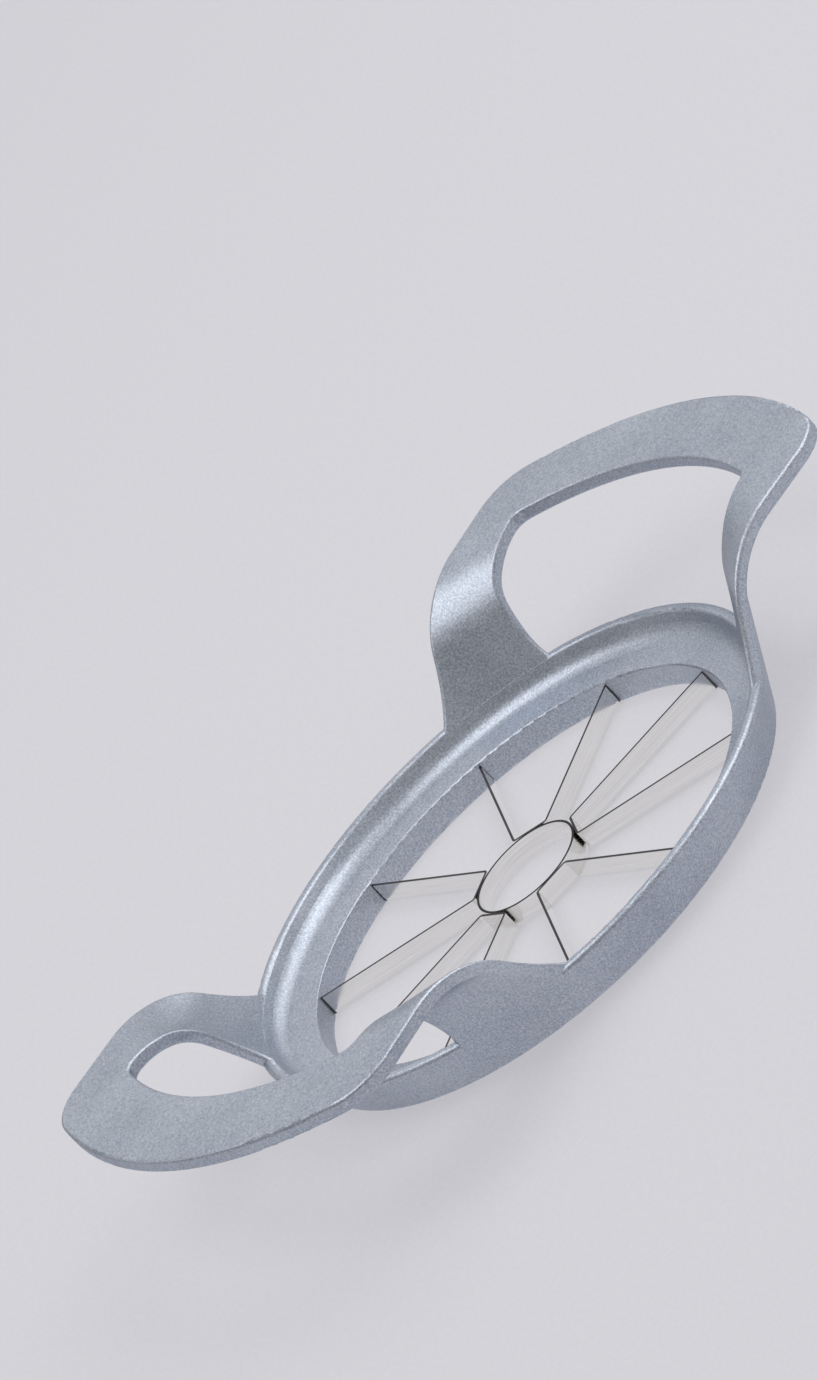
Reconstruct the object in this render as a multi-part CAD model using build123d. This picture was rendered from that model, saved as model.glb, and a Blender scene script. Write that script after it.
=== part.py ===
# Apple slicer wedger: a cast ring with two loop handles, five folded blade strips and a core ring.
# Millimetres, +Z up. +X runs along the handles, the origin is on the base under the middle.
import os
from math import cos, radians, sin, sqrt, tan

from build123d import *

# --- ring of the casting ---
opening_radius = 45.0      # half the width of the fruit opening, at the lip
wall_draft = 0.1           # the inner wall's foot stands this much wider than the lip
land_width = 5.65          # flat ring that the slicer rests on
lip_height = 4.85          # top edge of the inner wall
floor_slope = 12.0         # degrees, dish floor from the lip to the rim wall
wall_slope = 64.0          # degrees from the base plane, rim wall and handle ramp
wall_run = 2.4             # rim wall, measured level
rim_rise = 5.1             # top of the rim above the lip
rim_round = 0.85           # rounding of the rim's two top edges
floor_fillet = 4.0         # hollow between dish floor and rim wall
lip_round = 0.35           # rounding of the lip
land_round = 0.5           # rounding of the outer foot

# --- loop handles of the casting ---
grip_height = 28.1         # top face of the grips
grip_thickness = 2.65
grip_depth = 14.55         # width of a grip, away from the ring
finger_reach = 15.9        # from the rim's outer edge to the grip, seen from above
ramp_radius = 15.0         # bend from the ramp into the grip, on the top face
ramp_relief = 0.02         # the ramp's faces lie this far inside the rim wall's
strap_inset = 9.1          # from the rim's crest in to the outer side of a strap, at the rim
strap_width = 10.85        # at the rim
strap_splay = 2.8          # degrees, the straps' outer sides open out towards the grip
grip_corner = 10.4         # outer corners of a handle, seen from above
finger_corner = 3.0        # finger opening's corners at the grip
outer_root = 42.0          # hollow from a strap's outer side into the rim, seen from above
inner_root = 6.5           # the same inside the finger opening
root_sink = 1.0            # how far the flare of a strap runs into the rim
edge_round = 0.6           # rounding of the handles' long edges
edge_share = 0.3           # the most that this rounding takes of the metal's thickness

# --- blade strips and core ring ---
strip_count = 5            # each strip is folded into two blades
blade_thickness = 0.45
blade_lip_gap = 0.8        # from the lip down to the blades' top edges
blade_base_gap = 0.05      # from the base up to the blades' cutting edges
seat_depth = 1.6           # length of a blade's end inside the inner wall
fold_radius = 11.3         # distance of a strip's folds from the axis
fold_bend = 0.7            # bend of a fold, at the strip's middle
hone_height = 0.7          # honed bevel on the cutting edge
hone_inset = 0.14          # metal that the bevel takes from each face
core_wall = 0.45           # core ring's sheet
seat_clearance = 0.05      # all round a blade's end in its slot
core_clearance = 0.02      # core ring inside the strips' bases

# --- worked out from the above ---
foot_radius = opening_radius + wall_draft
rim_height = lip_height + rim_rise
blade_top = lip_height - blade_lip_gap
blade_bottom = blade_base_gap
blade_end = foot_radius + seat_depth
blade_pitch = 180.0 / strip_count           # degrees from blade to blade
wall_rate = 1.0 / tan(radians(wall_slope))  # outward step of the rim wall for each mm of height
wall_sheet = wall_run * sin(radians(wall_slope))


def outer_wall(height):
    """Radius of the outer face of the rim wall, and of the ramp's underside, at a height."""
    return foot_radius + land_width + height * wall_rate


def inner_wall(height):
    """Radius of the rim wall's inner face, and of the ramp's upper face, at a height."""
    return outer_wall(height) - wall_run


def rim_edge_round():
    """Rounding of the rim's edges, held within the width of its top."""
    half_slope = radians(wall_slope / 2)
    return min(rim_round, 0.98 * wall_run / (tan(half_slope) + 1 / tan(half_slope)))


crest_radius = inner_wall(rim_height - rim_edge_round())
grip_inner_radius = outer_wall(rim_height) + finger_reach
grip_outer_radius = grip_inner_radius + grip_depth
strap_outside = crest_radius - strap_inset  # |y| of the straps' outer sides at the rim
strap_inside = strap_outside - strap_width
splay_rate = tan(radians(strap_splay))
strap_root = sqrt(crest_radius ** 2 - strap_outside ** 2)   # x of that meeting
strap_spread = strap_outside - splay_rate * strap_root      # |y| of the sides, carried on to x = 0


def dish_corner():
    """Radius and height where the dish floor meets the rim wall."""
    rise = tan(radians(floor_slope))
    height = (lip_height + (inner_wall(0) - opening_radius) * rise) / (1 - wall_rate * rise)
    return inner_wall(height), height


def corner_at(sketch, x, y):
    """The sketch's vertex nearest to a point."""
    return sketch.vertices().sort_by_distance(Vector(x, y, 0))[0]


def turned(sketch):
    """Solid of revolution of a radius-height sketch."""
    return revolve(Plane.XZ * sketch, Axis.Z)


def make_ring():
    """Ring of the casting: foot, inner wall, dish floor and rounded rim."""
    corners = {
        "foot": (foot_radius, 0),
        "lip": (opening_radius, lip_height),
        "dish": dish_corner(),
        "rim_in": (inner_wall(rim_height), rim_height),
        "rim_out": (outer_wall(rim_height), rim_height),
        "land": (outer_wall(0), 0),
    }
    section = make_face(Polyline(*corners.values(), close=True))
    rounds = {"lip": lip_round, "dish": floor_fillet, "rim_in": rim_edge_round(),
              "rim_out": rim_edge_round(), "land": land_round}
    for name, radius in rounds.items():
        section = fillet(corner_at(section, *corners[name]), radius)
    return turned(section)


def make_bowl():
    """Full turn of the handles' section: ramp, bend and grip plate."""
    root = rim_height - 2 * rim_edge_round()
    under = grip_height - grip_thickness
    reach = grip_outer_radius + grip_corner
    top_bend = (inner_wall(grip_height) + ramp_relief, grip_height)
    under_bend = (outer_wall(under) - ramp_relief, under)
    section = make_face(Polyline(
        (inner_wall(root) + ramp_relief, root), top_bend, (reach, grip_height),
        (reach, under), under_bend, (outer_wall(root) - ramp_relief, root), close=True))
    section = fillet(corner_at(section, *top_bend), ramp_radius)
    section = fillet(corner_at(section, *under_bend), ramp_radius - grip_thickness)
    return turned(section)


def rounded_crossings(sketch, radius, half_width, bend):
    """The sketch with both corners rounded where a circle crosses y = +-half_width."""
    for side in (1, -1):
        x = sqrt(radius ** 2 - half_width ** 2)
        sketch = fillet(corner_at(sketch, x, side * half_width), bend)
    return sketch


def splay_crossing(radius):
    """|y| where a circle crosses the straps' splayed outer sides."""
    slant = 1 + splay_rate ** 2
    x = (sqrt(radius ** 2 * slant - strap_spread ** 2) - strap_spread * splay_rate) / slant
    return strap_spread + x * splay_rate


def handle_plan():
    """One handle seen from above, on the +X side, without its finger opening."""
    root_radius = crest_radius - root_sink
    reach = grip_outer_radius
    far = strap_spread + reach * splay_rate
    straps = make_face(Polyline(
        (0, -strap_spread), (reach, -far), (reach, far), (0, strap_spread), close=True))
    plan = straps & Circle(reach)
    plan = rounded_crossings(plan, reach, splay_crossing(reach), grip_corner)
    plan = rounded_crossings(plan + Circle(root_radius), root_radius, splay_crossing(root_radius), outer_root)
    return plan - Pos(-reach, 0) * Rectangle(2 * reach, 2 * reach)


def finger_plan():
    """Finger opening of the +X handle and the ring's middle, seen from above."""
    hole = Pos(grip_inner_radius / 2, 0) * Rectangle(grip_inner_radius, 2 * strap_inside)
    hole = (hole & Circle(grip_inner_radius)) - Circle(crest_radius)
    hole = rounded_crossings(hole, grip_inner_radius, strap_inside, finger_corner)
    hole = rounded_crossings(hole, crest_radius, strap_inside, inner_root)
    return hole + Circle(crest_radius)


def long_edges(handle):
    """Edges between the handle's upright sides and its upper and under faces, past the rim."""
    upright = set()
    sloped = set()
    for face in handle.faces():
        group = upright if abs(face.normal_at().Z) < 0.001 else sloped
        group.update(face.edges())
    past_rim = outer_wall(rim_height)
    return [edge for edge in upright & sloped if Vector((edge @ 0.5).X, (edge @ 0.5).Y).length > past_rim]


def make_handle():
    """Handle on the +X side, cut out of the bowl and rounded along its edges."""
    tall = grip_height + ramp_radius
    outline = extrude(handle_plan(), tall) - extrude(finger_plan(), tall)
    handle = make_bowl() & outline
    return fillet(long_edges(handle), min(edge_round, edge_share * wall_sheet, edge_share * grip_thickness))


def turned_by(angle, solid):
    """The solid turned about the ring's axis."""
    return Rot(0, 0, angle) * solid


def make_slots():
    """Cutters for the blades' ends in the inner wall, open at the base."""
    end = blade_end + seat_clearance
    inside = opening_radius - seat_depth
    top = blade_top + seat_clearance
    width = blade_thickness + 2 * seat_clearance
    cutter = Box(end - inside, width, 2 * top, align=(Align.MIN, Align.CENTER, Align.CENTER))
    cutter = Pos(inside, 0, 0) * cutter
    return [turned_by((index + 0.5) * blade_pitch, cutter) for index in range(2 * strip_count)]


def make_frame():
    """The casting: ring and both handles in one, with the blades' slots."""
    handle = make_handle()
    return make_ring() + handle + turned_by(180, handle) - make_slots()


def honed(solid):
    """A blade raised to its height, with its lower edge honed on both faces."""
    lowest = solid.faces().sort_by(Axis.Z)[0]
    ends = [edge for edge in lowest.edges() if abs(edge.length - blade_thickness) < 0.001]
    sides = [edge for edge in lowest.edges() if edge not in ends]
    sharp = chamfer(sides, hone_inset, hone_height, reference=lowest)
    return Pos(0, 0, blade_bottom) * sharp


def make_strip():
    """One strip folded twice, about +X: two blades and the base between them."""
    half = radians(blade_pitch / 2)
    tips = [(blade_end * cos(half), side * blade_end * sin(half)) for side in (1, -1)]
    folds = [(fold_radius * cos(half), side * fold_radius * sin(half)) for side in (1, -1)]
    path = FilletPolyline(tips[0], folds[0], folds[1], tips[1], radius=fold_bend)
    return honed(extrude(trace(path, blade_thickness), blade_top - blade_bottom))


def make_core():
    """Ring that the strips' bases stand around, cutting out the core."""
    outside = fold_radius * cos(radians(blade_pitch / 2)) - blade_thickness / 2 - core_clearance
    section = Circle(outside) - Circle(outside - core_wall)
    return honed(extrude(section, blade_top - blade_bottom))


os.makedirs("parts", exist_ok=True)
export_step(make_frame(), "parts/handle_frame.step")
export_step(make_core(), "parts/core_ring.step")
strip = make_strip()
for index in range(strip_count):
    placed = turned_by((2 * index + 1) * blade_pitch, strip)
    export_step(placed, f"parts/blade_strip_{index + 1}.step")
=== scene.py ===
import bpy
from mathutils import Matrix, Vector


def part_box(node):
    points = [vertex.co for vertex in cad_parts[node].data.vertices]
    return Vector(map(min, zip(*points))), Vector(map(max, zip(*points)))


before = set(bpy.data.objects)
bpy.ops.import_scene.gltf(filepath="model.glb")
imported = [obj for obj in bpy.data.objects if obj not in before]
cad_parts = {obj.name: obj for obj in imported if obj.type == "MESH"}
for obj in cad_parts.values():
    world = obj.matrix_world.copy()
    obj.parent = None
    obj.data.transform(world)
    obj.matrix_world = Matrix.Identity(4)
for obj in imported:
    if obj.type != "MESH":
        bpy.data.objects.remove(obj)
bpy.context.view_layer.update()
print("frame loaded:", sorted(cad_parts))

for spare in ("Cube", "Light", "Camera"):      # what a new Blender file starts with
    if spare in bpy.data.objects:
        bpy.data.objects.remove(bpy.data.objects[spare], do_unlink=True)


class Wire:                                    # one shader socket that can be used in sums
    def __init__(self, tree, socket=None):
        self.tree = tree
        self.socket = socket

    def add(self, kind, settings, sockets, out=0):
        node = self.tree.nodes.new(kind)
        for name, value in settings.items():
            setattr(node, name, value)
        for name, value in sockets.items():
            if isinstance(value, Wire):
                self.tree.links.new(value.socket, node.inputs[name])
            else:
                node.inputs[name].default_value = value
        return Wire(self.tree, node.outputs[out])

    def sum(self, operation, first, second):
        return self.add("ShaderNodeMath", {"operation": operation}, {0: first, 1: second})

    def __add__(self, other):
        return self.sum("ADD", self, other)

    def __sub__(self, other):
        return self.sum("SUBTRACT", self, other)

    def __rsub__(self, other):
        return self.sum("SUBTRACT", other, self)

    def __mul__(self, other):
        return self.sum("MULTIPLY", self, other)

    def ease(self, low, high):                 # 0 below low, 1 above high, smooth between
        return self.add("ShaderNodeMapRange", {"interpolation_type": "SMOOTHSTEP"},
                        {"Value": self, "From Min": low, "From Max": high})

    def shift(self, low, high):                # 0..1 stretched to low..high
        return self.add("ShaderNodeMapRange", {}, {"Value": self, "To Min": low, "To Max": high})

    def tint(self, first, second):             # colour mix by this socket; 6, 7 and 2 are its colours
        return self.add("ShaderNodeMix", {"data_type": "RGBA"}, {0: self, 6: first, 7: second}, out=2)

    def stretch(self, x, y, z):                # this vector, scaled along each axis
        return self.add("ShaderNodeVectorMath", {"operation": "MULTIPLY"}, {0: self, 1: (x, y, z)})

    def noise(self, scale, detail, rough):
        return self.add("ShaderNodeTexNoise", {},
                        {"Vector": self, "Scale": scale, "Detail": detail, "Roughness": rough})


def colour(red, green, blue):                  # screen values 0..255 to a linear colour
    def linear(level):
        level = level / 255
        return level / 12.92 if level <= 0.04045 else ((level + 0.055) / 1.055) ** 2.4
    return (linear(red), linear(green), linear(blue), 1.0)


def newFinish(name):                           # empty material and a first wire
    finish = bpy.data.materials.new(name)
    finish.use_nodes = True
    finish.node_tree.nodes.clear()
    return finish, Wire(finish.node_tree)


def closeFinish(finish, surface):
    output = finish.node_tree.nodes.new("ShaderNodeOutputMaterial")
    finish.node_tree.links.new(surface.socket, output.inputs["Surface"])
    return finish


def partPlace(wire):                           # a point in the part's own frame, and its height
    place = wire.add("ShaderNodeTexCoord", {}, {}, out="Object")
    return place, wire.add("ShaderNodeSeparateXYZ", {}, {"Vector": place}, out="Z")


castLook = {
    "deep": colour(153, 161, 175),             # between the grains
    "bright": colour(211, 217, 227),           # on the grains
    "worn": colour(206, 210, 214),             # bare metal at the foot
    "roughness": (0.33, 0.45),
    "metallic": 0.85,
    "glance": (0.66, 0.68, 0.71, 1.0),         # how much of a low, glancing light it returns
    "grainSize": 2900.0,                       # grains to the metre
    "fleckSize": 4060.0,                       # metal flecks to the metre
    "cloudSize": 38.0,                         # broad uneven patches to the metre
    "scuffSize": 420.0,
    "scuffCut": (0.46, 0.6),                   # noise levels from whole lacquer to bare metal
    "scuffTop": (0.0001, 0.0006),              # heights where the rubbing fades out
    "scuffShine": 0.08,                        # how much smoother the bare metal is
    "grainDepth": 0.00005,
    "relief": 0.35,
}


def castFinish(look):                          # silver lacquer over cast aluminium
    finish, wire = newFinish("castSilver")
    place, height = partPlace(wire)
    grain = place.noise(look["grainSize"], detail=3.0, rough=0.6)
    fleck = wire.add("ShaderNodeTexVoronoi", {"feature": "F1"},
                     {"Vector": place, "Scale": look["fleckSize"]})
    cloud = place.noise(look["cloudSize"], detail=3.0, rough=0.55)
    foot = 1.0 - height.ease(*look["scuffTop"])
    scuff = foot * place.noise(look["scuffSize"], detail=4.0, rough=0.7).ease(*look["scuffCut"])
    paint = (grain * 0.75 + cloud * 0.25).ease(0.3, 0.7).tint(look["deep"], look["bright"])
    skin = scuff.tint(paint, look["worn"])
    gloss = (cloud * 0.6 + grain * 0.4).ease(0.25, 0.75).shift(*look["roughness"])
    gloss = gloss - scuff * look["scuffShine"]
    normal = wire.add("ShaderNodeBump", {}, {
        "Strength": look["relief"], "Distance": look["grainDepth"], "Height": grain * 0.7 + fleck * 0.3})
    return closeFinish(finish, wire.add("ShaderNodeBsdfPrincipled", {}, {
        "Base Color": skin, "Metallic": look["metallic"], "Roughness": gloss,
        "Specular Tint": look["glance"], "Normal": normal}))


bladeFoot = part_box("core_ring")[0][2]          # heights of the steel's lower and upper edges
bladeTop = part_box("core_ring")[1][2]

steelLook = {                                  # what the strips and the core ring share
    "shearedDepth": (0.00006, 0.00001),        # below the top edge, where it starts and is full
    "shearedDull": 0.25,                       # how much rougher the sheared edge is
    "relief": 0.15,
    "reliefDepth": 0.00001,
}

bladeLook = {
    "steel": colour(247, 246, 243),
    "line": colour(234, 233, 230),             # in the rolling lines
    "edge": colour(62, 60, 62),                # painted dark reflection along the top edge, and painted shade where a strip meets the casting's wall
    "honed": colour(234, 234, 232),
    "roughness": (0.1, 0.2),
    "lineSize": (60.0, 60.0, 9000.0),          # rolling lines to the metre, along x, y and z
    "cloudSize": 150.0,
    "hone": 0.0007,                            # height of the honed bevel
    "honeSoft": 0.00003,                       # half the height over which the bevel's look fades
    "honeSize": 5200.0,                        # grinding marks to the metre
    "honeShare": 0.8,                          # of the honed colour on the bevel
    "honeDull": 0.12,                          # how much rougher its marks are
    "wallShade": (0.04462, 0.04485),                # distance from the axis where the painted shade next to the casting's wall begins and is full
    "wallShadeShare": 0.9,
    "wallShadeDull": 0.3,
}

coreLook = {
    "steel": colour(248, 247, 244),
    "line": colour(234, 233, 230),
    # painted dark reflection along the ring's top edge
    "edge": colour(38, 36, 38),
    "roughness": (0.14, 0.24),
    "lineSize": (90.0, 90.0, 8000.0),
    "cloudSize": 220.0,
}


def rolledSteel(place, height, look):          # rolling lines, colour, roughness, and the top edge's mask for a duller edge and a painted dark reflection
    lines = place.stretch(*look["lineSize"]).noise(1.0, detail=4.0, rough=0.6)
    cloud = place.noise(look["cloudSize"], detail=2.0, rough=0.5)
    start, full = steelLook["shearedDepth"]
    # the top edge: rougher, and darkened there as a painted reflection
    shearedAndPaintedDark = height.ease(bladeTop - start, bladeTop - full)
    steel = lines.ease(0.35, 0.65).tint(look["steel"], look["line"])
    gloss = (lines * 0.5 + cloud * 0.5).ease(0.3, 0.7).shift(*look["roughness"])
    return lines, steel, gloss + shearedAndPaintedDark * steelLook["shearedDull"], shearedAndPaintedDark


def closeSteel(finish, wire, steel, gloss, relief):
    normal = wire.add("ShaderNodeBump", {}, {
        "Strength": steelLook["relief"], "Distance": steelLook["reliefDepth"], "Height": relief})
    return closeFinish(finish, wire.add("ShaderNodeBsdfPrincipled", {}, {
        "Base Color": steel, "Metallic": 1.0, "Roughness": gloss, "Normal": normal}))


def bladeFinish(look):                         # rolled stainless strip, polished, with a honed edge, a painted dark reflection along its top and painted shade at the wall
    finish, wire = newFinish("bladeSteel")
    place, height = partPlace(wire)
    lines, steel, gloss, shearedAndPaintedDark = rolledSteel(place, height, look)
    honeTop = bladeFoot + look["hone"]
    hone = 1.0 - height.ease(honeTop - look["honeSoft"], honeTop + look["honeSoft"])
    marks = hone * place.noise(look["honeSize"], detail=2.0, rough=0.6)
    level = place.stretch(1.0, 1.0, 0.0)
    reach = wire.add("ShaderNodeVectorMath", {"operation": "LENGTH"}, {0: level}, out="Value")
    # painted shade: the strip darkened close to the casting's inner wall
    wallShade = reach.ease(*look["wallShade"])
    steel = (hone * look["honeShare"]).tint(steel, look["honed"])
    # painted dark reflection on the top edge, painted shade at the wall
    steel = (shearedAndPaintedDark + wallShade * look["wallShadeShare"]).tint(steel, look["edge"])
    gloss = gloss + marks * look["honeDull"] + wallShade * look["wallShadeDull"]
    return closeSteel(finish, wire, steel, gloss, lines + marks)


def coreFinish(look):                          # thin welded ring, polished round its turn, with a painted dark reflection along its top edge
    finish, wire = newFinish("coreSteel")
    place, height = partPlace(wire)
    lines, steel, gloss, shearedAndPaintedDark = rolledSteel(place, height, look)
    return closeSteel(finish, wire, shearedAndPaintedDark.tint(steel, look["edge"]), gloss, lines)


def dress(node, finish):
    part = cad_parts[node]
    for place in part.material_slots:
        place.material = finish


dress("handle_frame", castFinish(castLook))
steel = bladeFinish(bladeLook)
for strip in sorted(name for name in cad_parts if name.startswith("blade_strip")):
    dress(strip, steel)
dress("core_ring", coreFinish(coreLook))
print("finishes: cast frame, blade strips, core ring")


tableLook = {
    "colour": colour(216, 215, 220),
    "fibre": colour(213, 212, 218),
    "fibreSize": 900.0,                        # fibres to the metre
    "roughness": 0.9,
    "sheen": 0.1,
    "eye": 0.65,                               # how far the camera sees the card unshaded
    "mirror": 0.95,                            # and how far the metal does
    "half": 3.0,                               # from the middle to an edge
}


def makeTable(look):                           # pale card, part unshaded to the eye and the metal
    half = look["half"]
    mesh = bpy.data.meshes.new("tableTop")
    mesh.from_pydata([(-half, -half, 0), (half, -half, 0), (half, half, 0), (-half, half, 0)],
                     [], [(0, 1, 2, 3)])
    table = bpy.data.objects.new("tableTop", mesh)
    bpy.context.scene.collection.objects.link(table)
    finish, wire = newFinish("tableCard")
    place = wire.add("ShaderNodeTexCoord", {}, {}, out="Object")
    fibres = place.noise(look["fibreSize"], detail=3.0, rough=0.6).ease(0.3, 0.7)
    paper = fibres.tint(look["colour"], look["fibre"])
    card = wire.add("ShaderNodeBsdfPrincipled", {}, {
        "Base Color": paper, "Roughness": look["roughness"], "Specular IOR Level": look["sheen"]})
    plain = wire.add("ShaderNodeEmission", {}, {"Color": paper, "Strength": 1.0})
    eye = wire.add("ShaderNodeLightPath", {}, {}, out="Is Camera Ray")
    mirror = wire.add("ShaderNodeLightPath", {}, {}, out="Is Glossy Ray")
    share = eye * look["eye"] + mirror * look["mirror"]
    mesh.materials.append(closeFinish(finish, wire.add(
        "ShaderNodeMixShader", {}, {0: share, 1: card, 2: plain})))


makeTable(tableLook)


lampLook = {                                   # place, size in metres, watts
    "overhead": ((-0.26, 0.13, 0.85), (0.75, 0.7), 2.5),
    "right": ((0.74, 0.12, 0.54), (0.5, 0.9), 1.5),
    "front": ((0.5, -0.34, 0.68), (0.5, 0.5), 1.5),
    "back": ((0.4, 0.76, 0.53), (0.5, 0.5), 0.2),
}


def makeLamps(look):                           # soft boxes, aimed at the middle of the ring
    for name, (spot, size, watts) in look.items():
        lamp = bpy.data.lights.new(name + "Lamp", "AREA")
        lamp.shape = "RECTANGLE"
        lamp.size, lamp.size_y = size
        lamp.energy = watts
        holder = bpy.data.objects.new(name + "Lamp", lamp)
        holder.location = spot
        holder.rotation_euler = (-Vector(spot)).to_track_quat("-Z", "Y").to_euler()
        bpy.context.scene.collection.objects.link(holder)


makeLamps(lampLook)


skyLook = {
    "level": 0.6,
    "drop": 0.26,                              # how much darker one side is
    "dark": (-0.86, -0.29, 0.42),              # towards that side
    "darkEdge": (0.1, 0.95),                   # where it begins and is full, 1 being straight at it
    "horizon": 0.45,                           # share of the level that is left low down
    "horizonTop": 0.35,                        # how far up the low part reaches, 1 being overhead
}


def makeSky(look):
    sky = bpy.data.worlds.new("studio")
    bpy.context.scene.world = sky
    sky.use_nodes = True
    sky.node_tree.nodes.clear()
    wire = Wire(sky.node_tree)
    way = wire.add("ShaderNodeTexCoord", {}, {}, out="Generated")
    rise = wire.add("ShaderNodeSeparateXYZ", {}, {"Vector": way}, out="Z")
    side = wire.add("ShaderNodeVectorMath", {"operation": "DOT_PRODUCT"},
                    {0: way, 1: look["dark"]}, out="Value")
    level = side.ease(*look["darkEdge"]).shift(look["level"], look["level"] - look["drop"])
    level = level * rise.ease(0.0, look["horizonTop"]).shift(look["horizon"], 1.0)
    glow = wire.add("ShaderNodeBackground", {}, {"Color": (1.0, 1.0, 1.0, 1.0), "Strength": level})
    output = sky.node_tree.nodes.new("ShaderNodeOutputWorld")
    sky.node_tree.links.new(glow.socket, output.inputs["Surface"])


makeSky(skyLook)
print("table, lamps and sky placed")


cameraLook = {
    "place": (-0.68332, -1.27885, 0.63428),
    "right": (0.51338, -0.57355, -0.63834),
    "up": (0.73692, -0.08654, 0.67042),
    "lens": 245.4,                             # millimetres, as is the sensor
    "sensor": 36.0,
    "nearest": 0.02,                           # metres, nothing closer is drawn
}


def makeCamera(look):
    lens = bpy.data.cameras.new("studioCamera")
    lens.lens = look["lens"]
    lens.sensor_width = look["sensor"]
    lens.sensor_fit = "AUTO"
    lens.clip_start = look["nearest"]
    camera = bpy.data.objects.new("studioCamera", lens)
    right = Vector(look["right"]).normalized()
    up = Vector(look["up"])
    up = (up - right * up.dot(right)).normalized()
    back = right.cross(up)
    turn = Matrix((right, up, back)).transposed().to_4x4()
    camera.matrix_world = Matrix.Translation(look["place"]) @ turn
    bpy.context.scene.collection.objects.link(camera)
    bpy.context.scene.camera = camera


makeCamera(cameraLook)
bpy.context.scene.view_settings.view_transform = "Standard"
print("camera placed")
